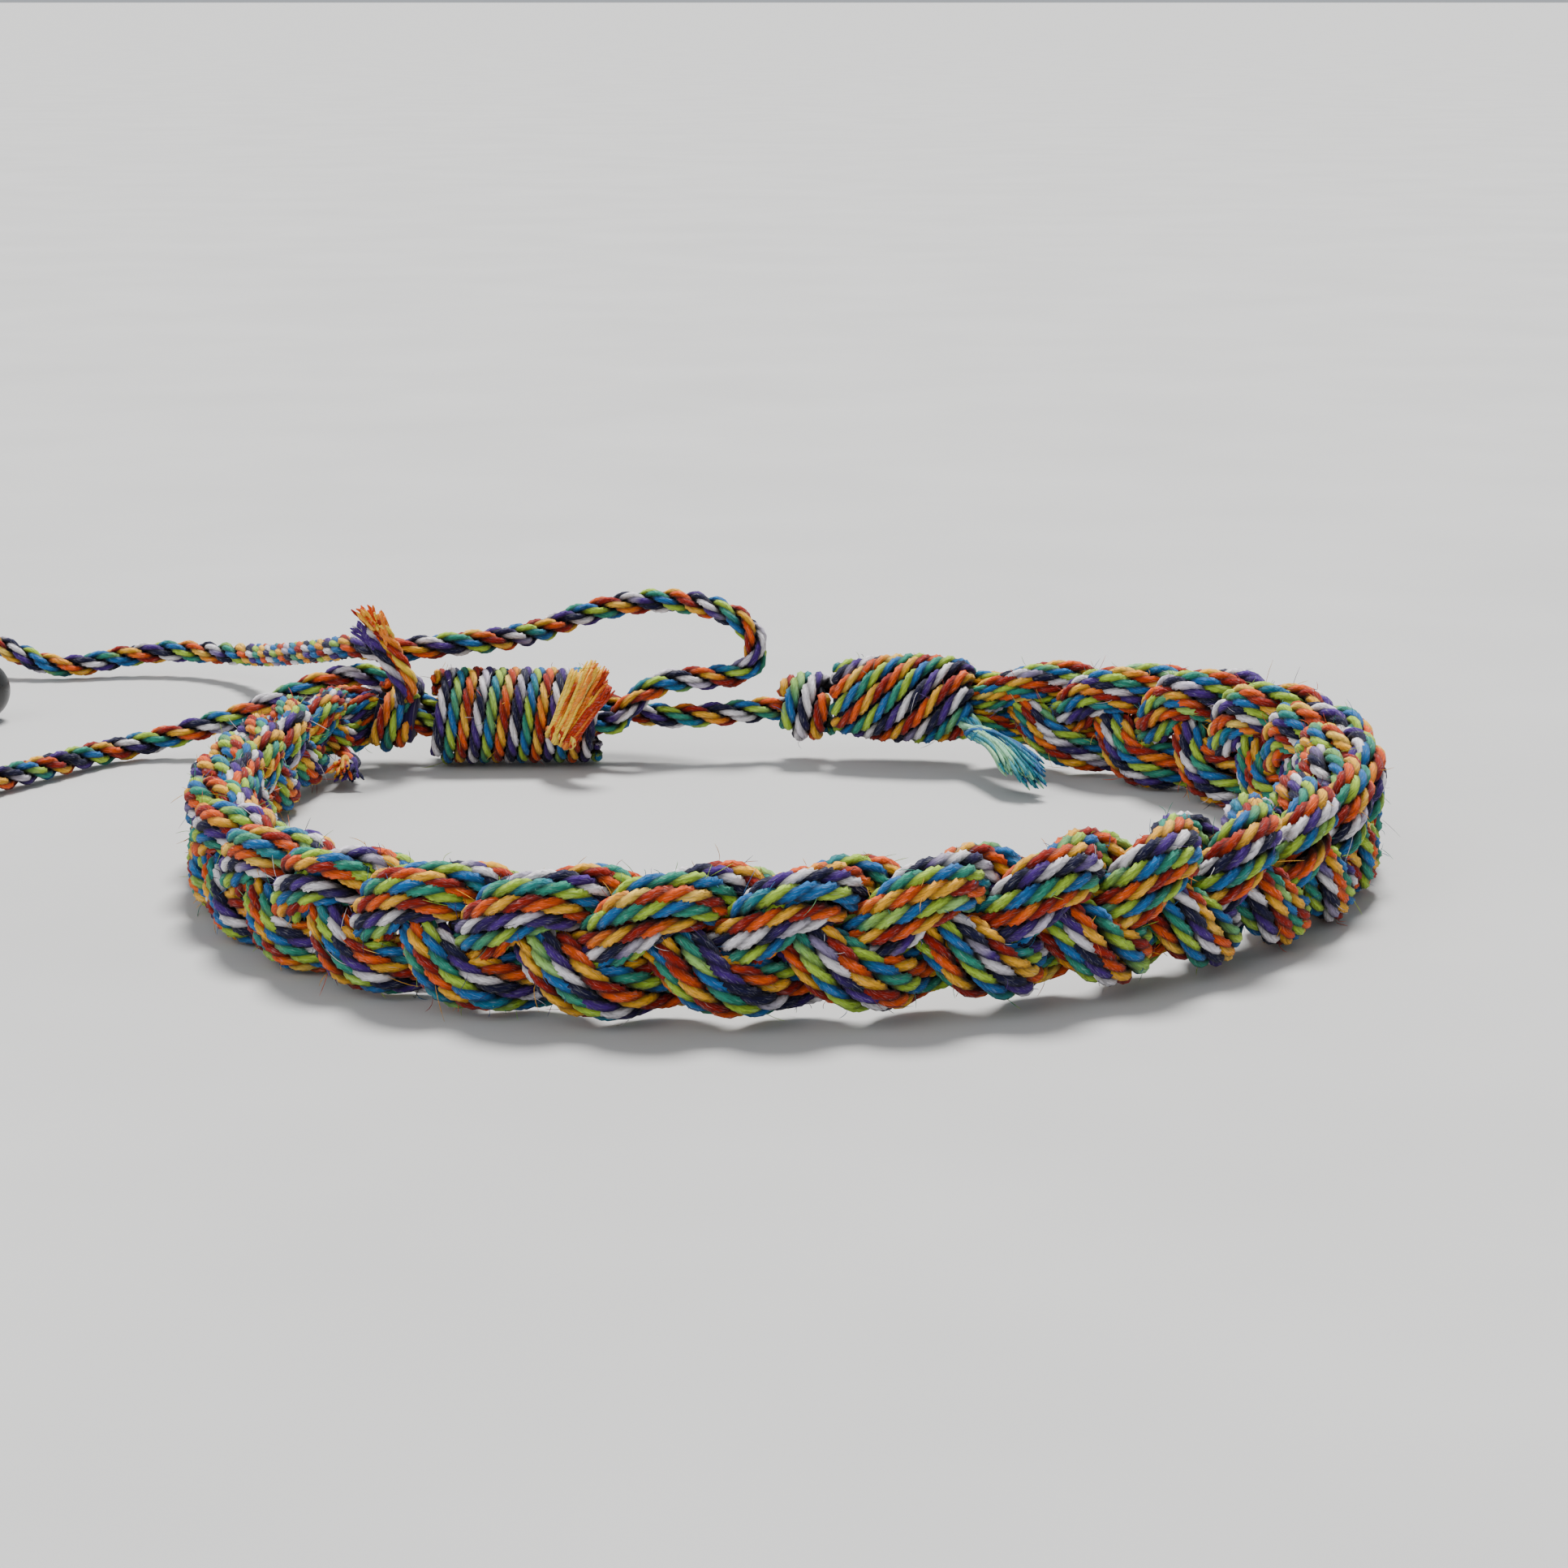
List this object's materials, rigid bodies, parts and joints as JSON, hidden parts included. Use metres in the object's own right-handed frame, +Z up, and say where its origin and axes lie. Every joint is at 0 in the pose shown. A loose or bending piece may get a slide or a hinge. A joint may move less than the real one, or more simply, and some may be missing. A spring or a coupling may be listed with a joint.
{
  "type": "braided bracelet",
  "caption": "Flat plaited cord bracelet standing on edge as a ring, closed by two thin ties that slide through a wound knot.",
  "frame": {"origin": "middle of the bracelet's outline on the surface that it stands on, without the two ties and the bead", "axes": "+Z up out of the ring's opening, +Y towards the sliding knot, +X towards the right binding as seen from the plait's front"},
  "size_m": [0.0856, 0.0787, 0.0098],
  "materials": {
    "strand_a": "plied cords of orange, teal and violet families side by side",
    "strand_b": "plied cords of orange, teal and violet families side by side",
    "strand_c": "plied cords of orange, teal and violet families side by side",
    "left_binding": "wound plied cord",
    "right_binding": "wound plied cord",
    "end_knot": "wound plied cord",
    "sliding_knot": "wound plied cord",
    "left_tie": "three plied cords twisted together",
    "right_tie": "three plied cords twisted together",
    "tie_bead": "dark, satin",
    "left_tuft": "cut cord ends",
    "right_tuft": "cut cord ends",
    "knot_tuft": "cut cord ends",
    "inner_tuft": "cut cord ends"
  },
  "bodies": {
    "root": {"strand_a": "strand_a", "strand_b": "strand_b", "strand_c": "strand_c", "left_binding": "left_binding", "right_binding": "right_binding", "end_knot": "end_knot", "sliding_knot": "sliding_knot", "left_tie": "left_tie", "right_tie": "right_tie", "tie_bead": "tie_bead", "left_tuft": "left_tuft", "right_tuft": "right_tuft", "knot_tuft": "knot_tuft", "inner_tuft": "inner_tuft"}
  },
  "joints": []
}
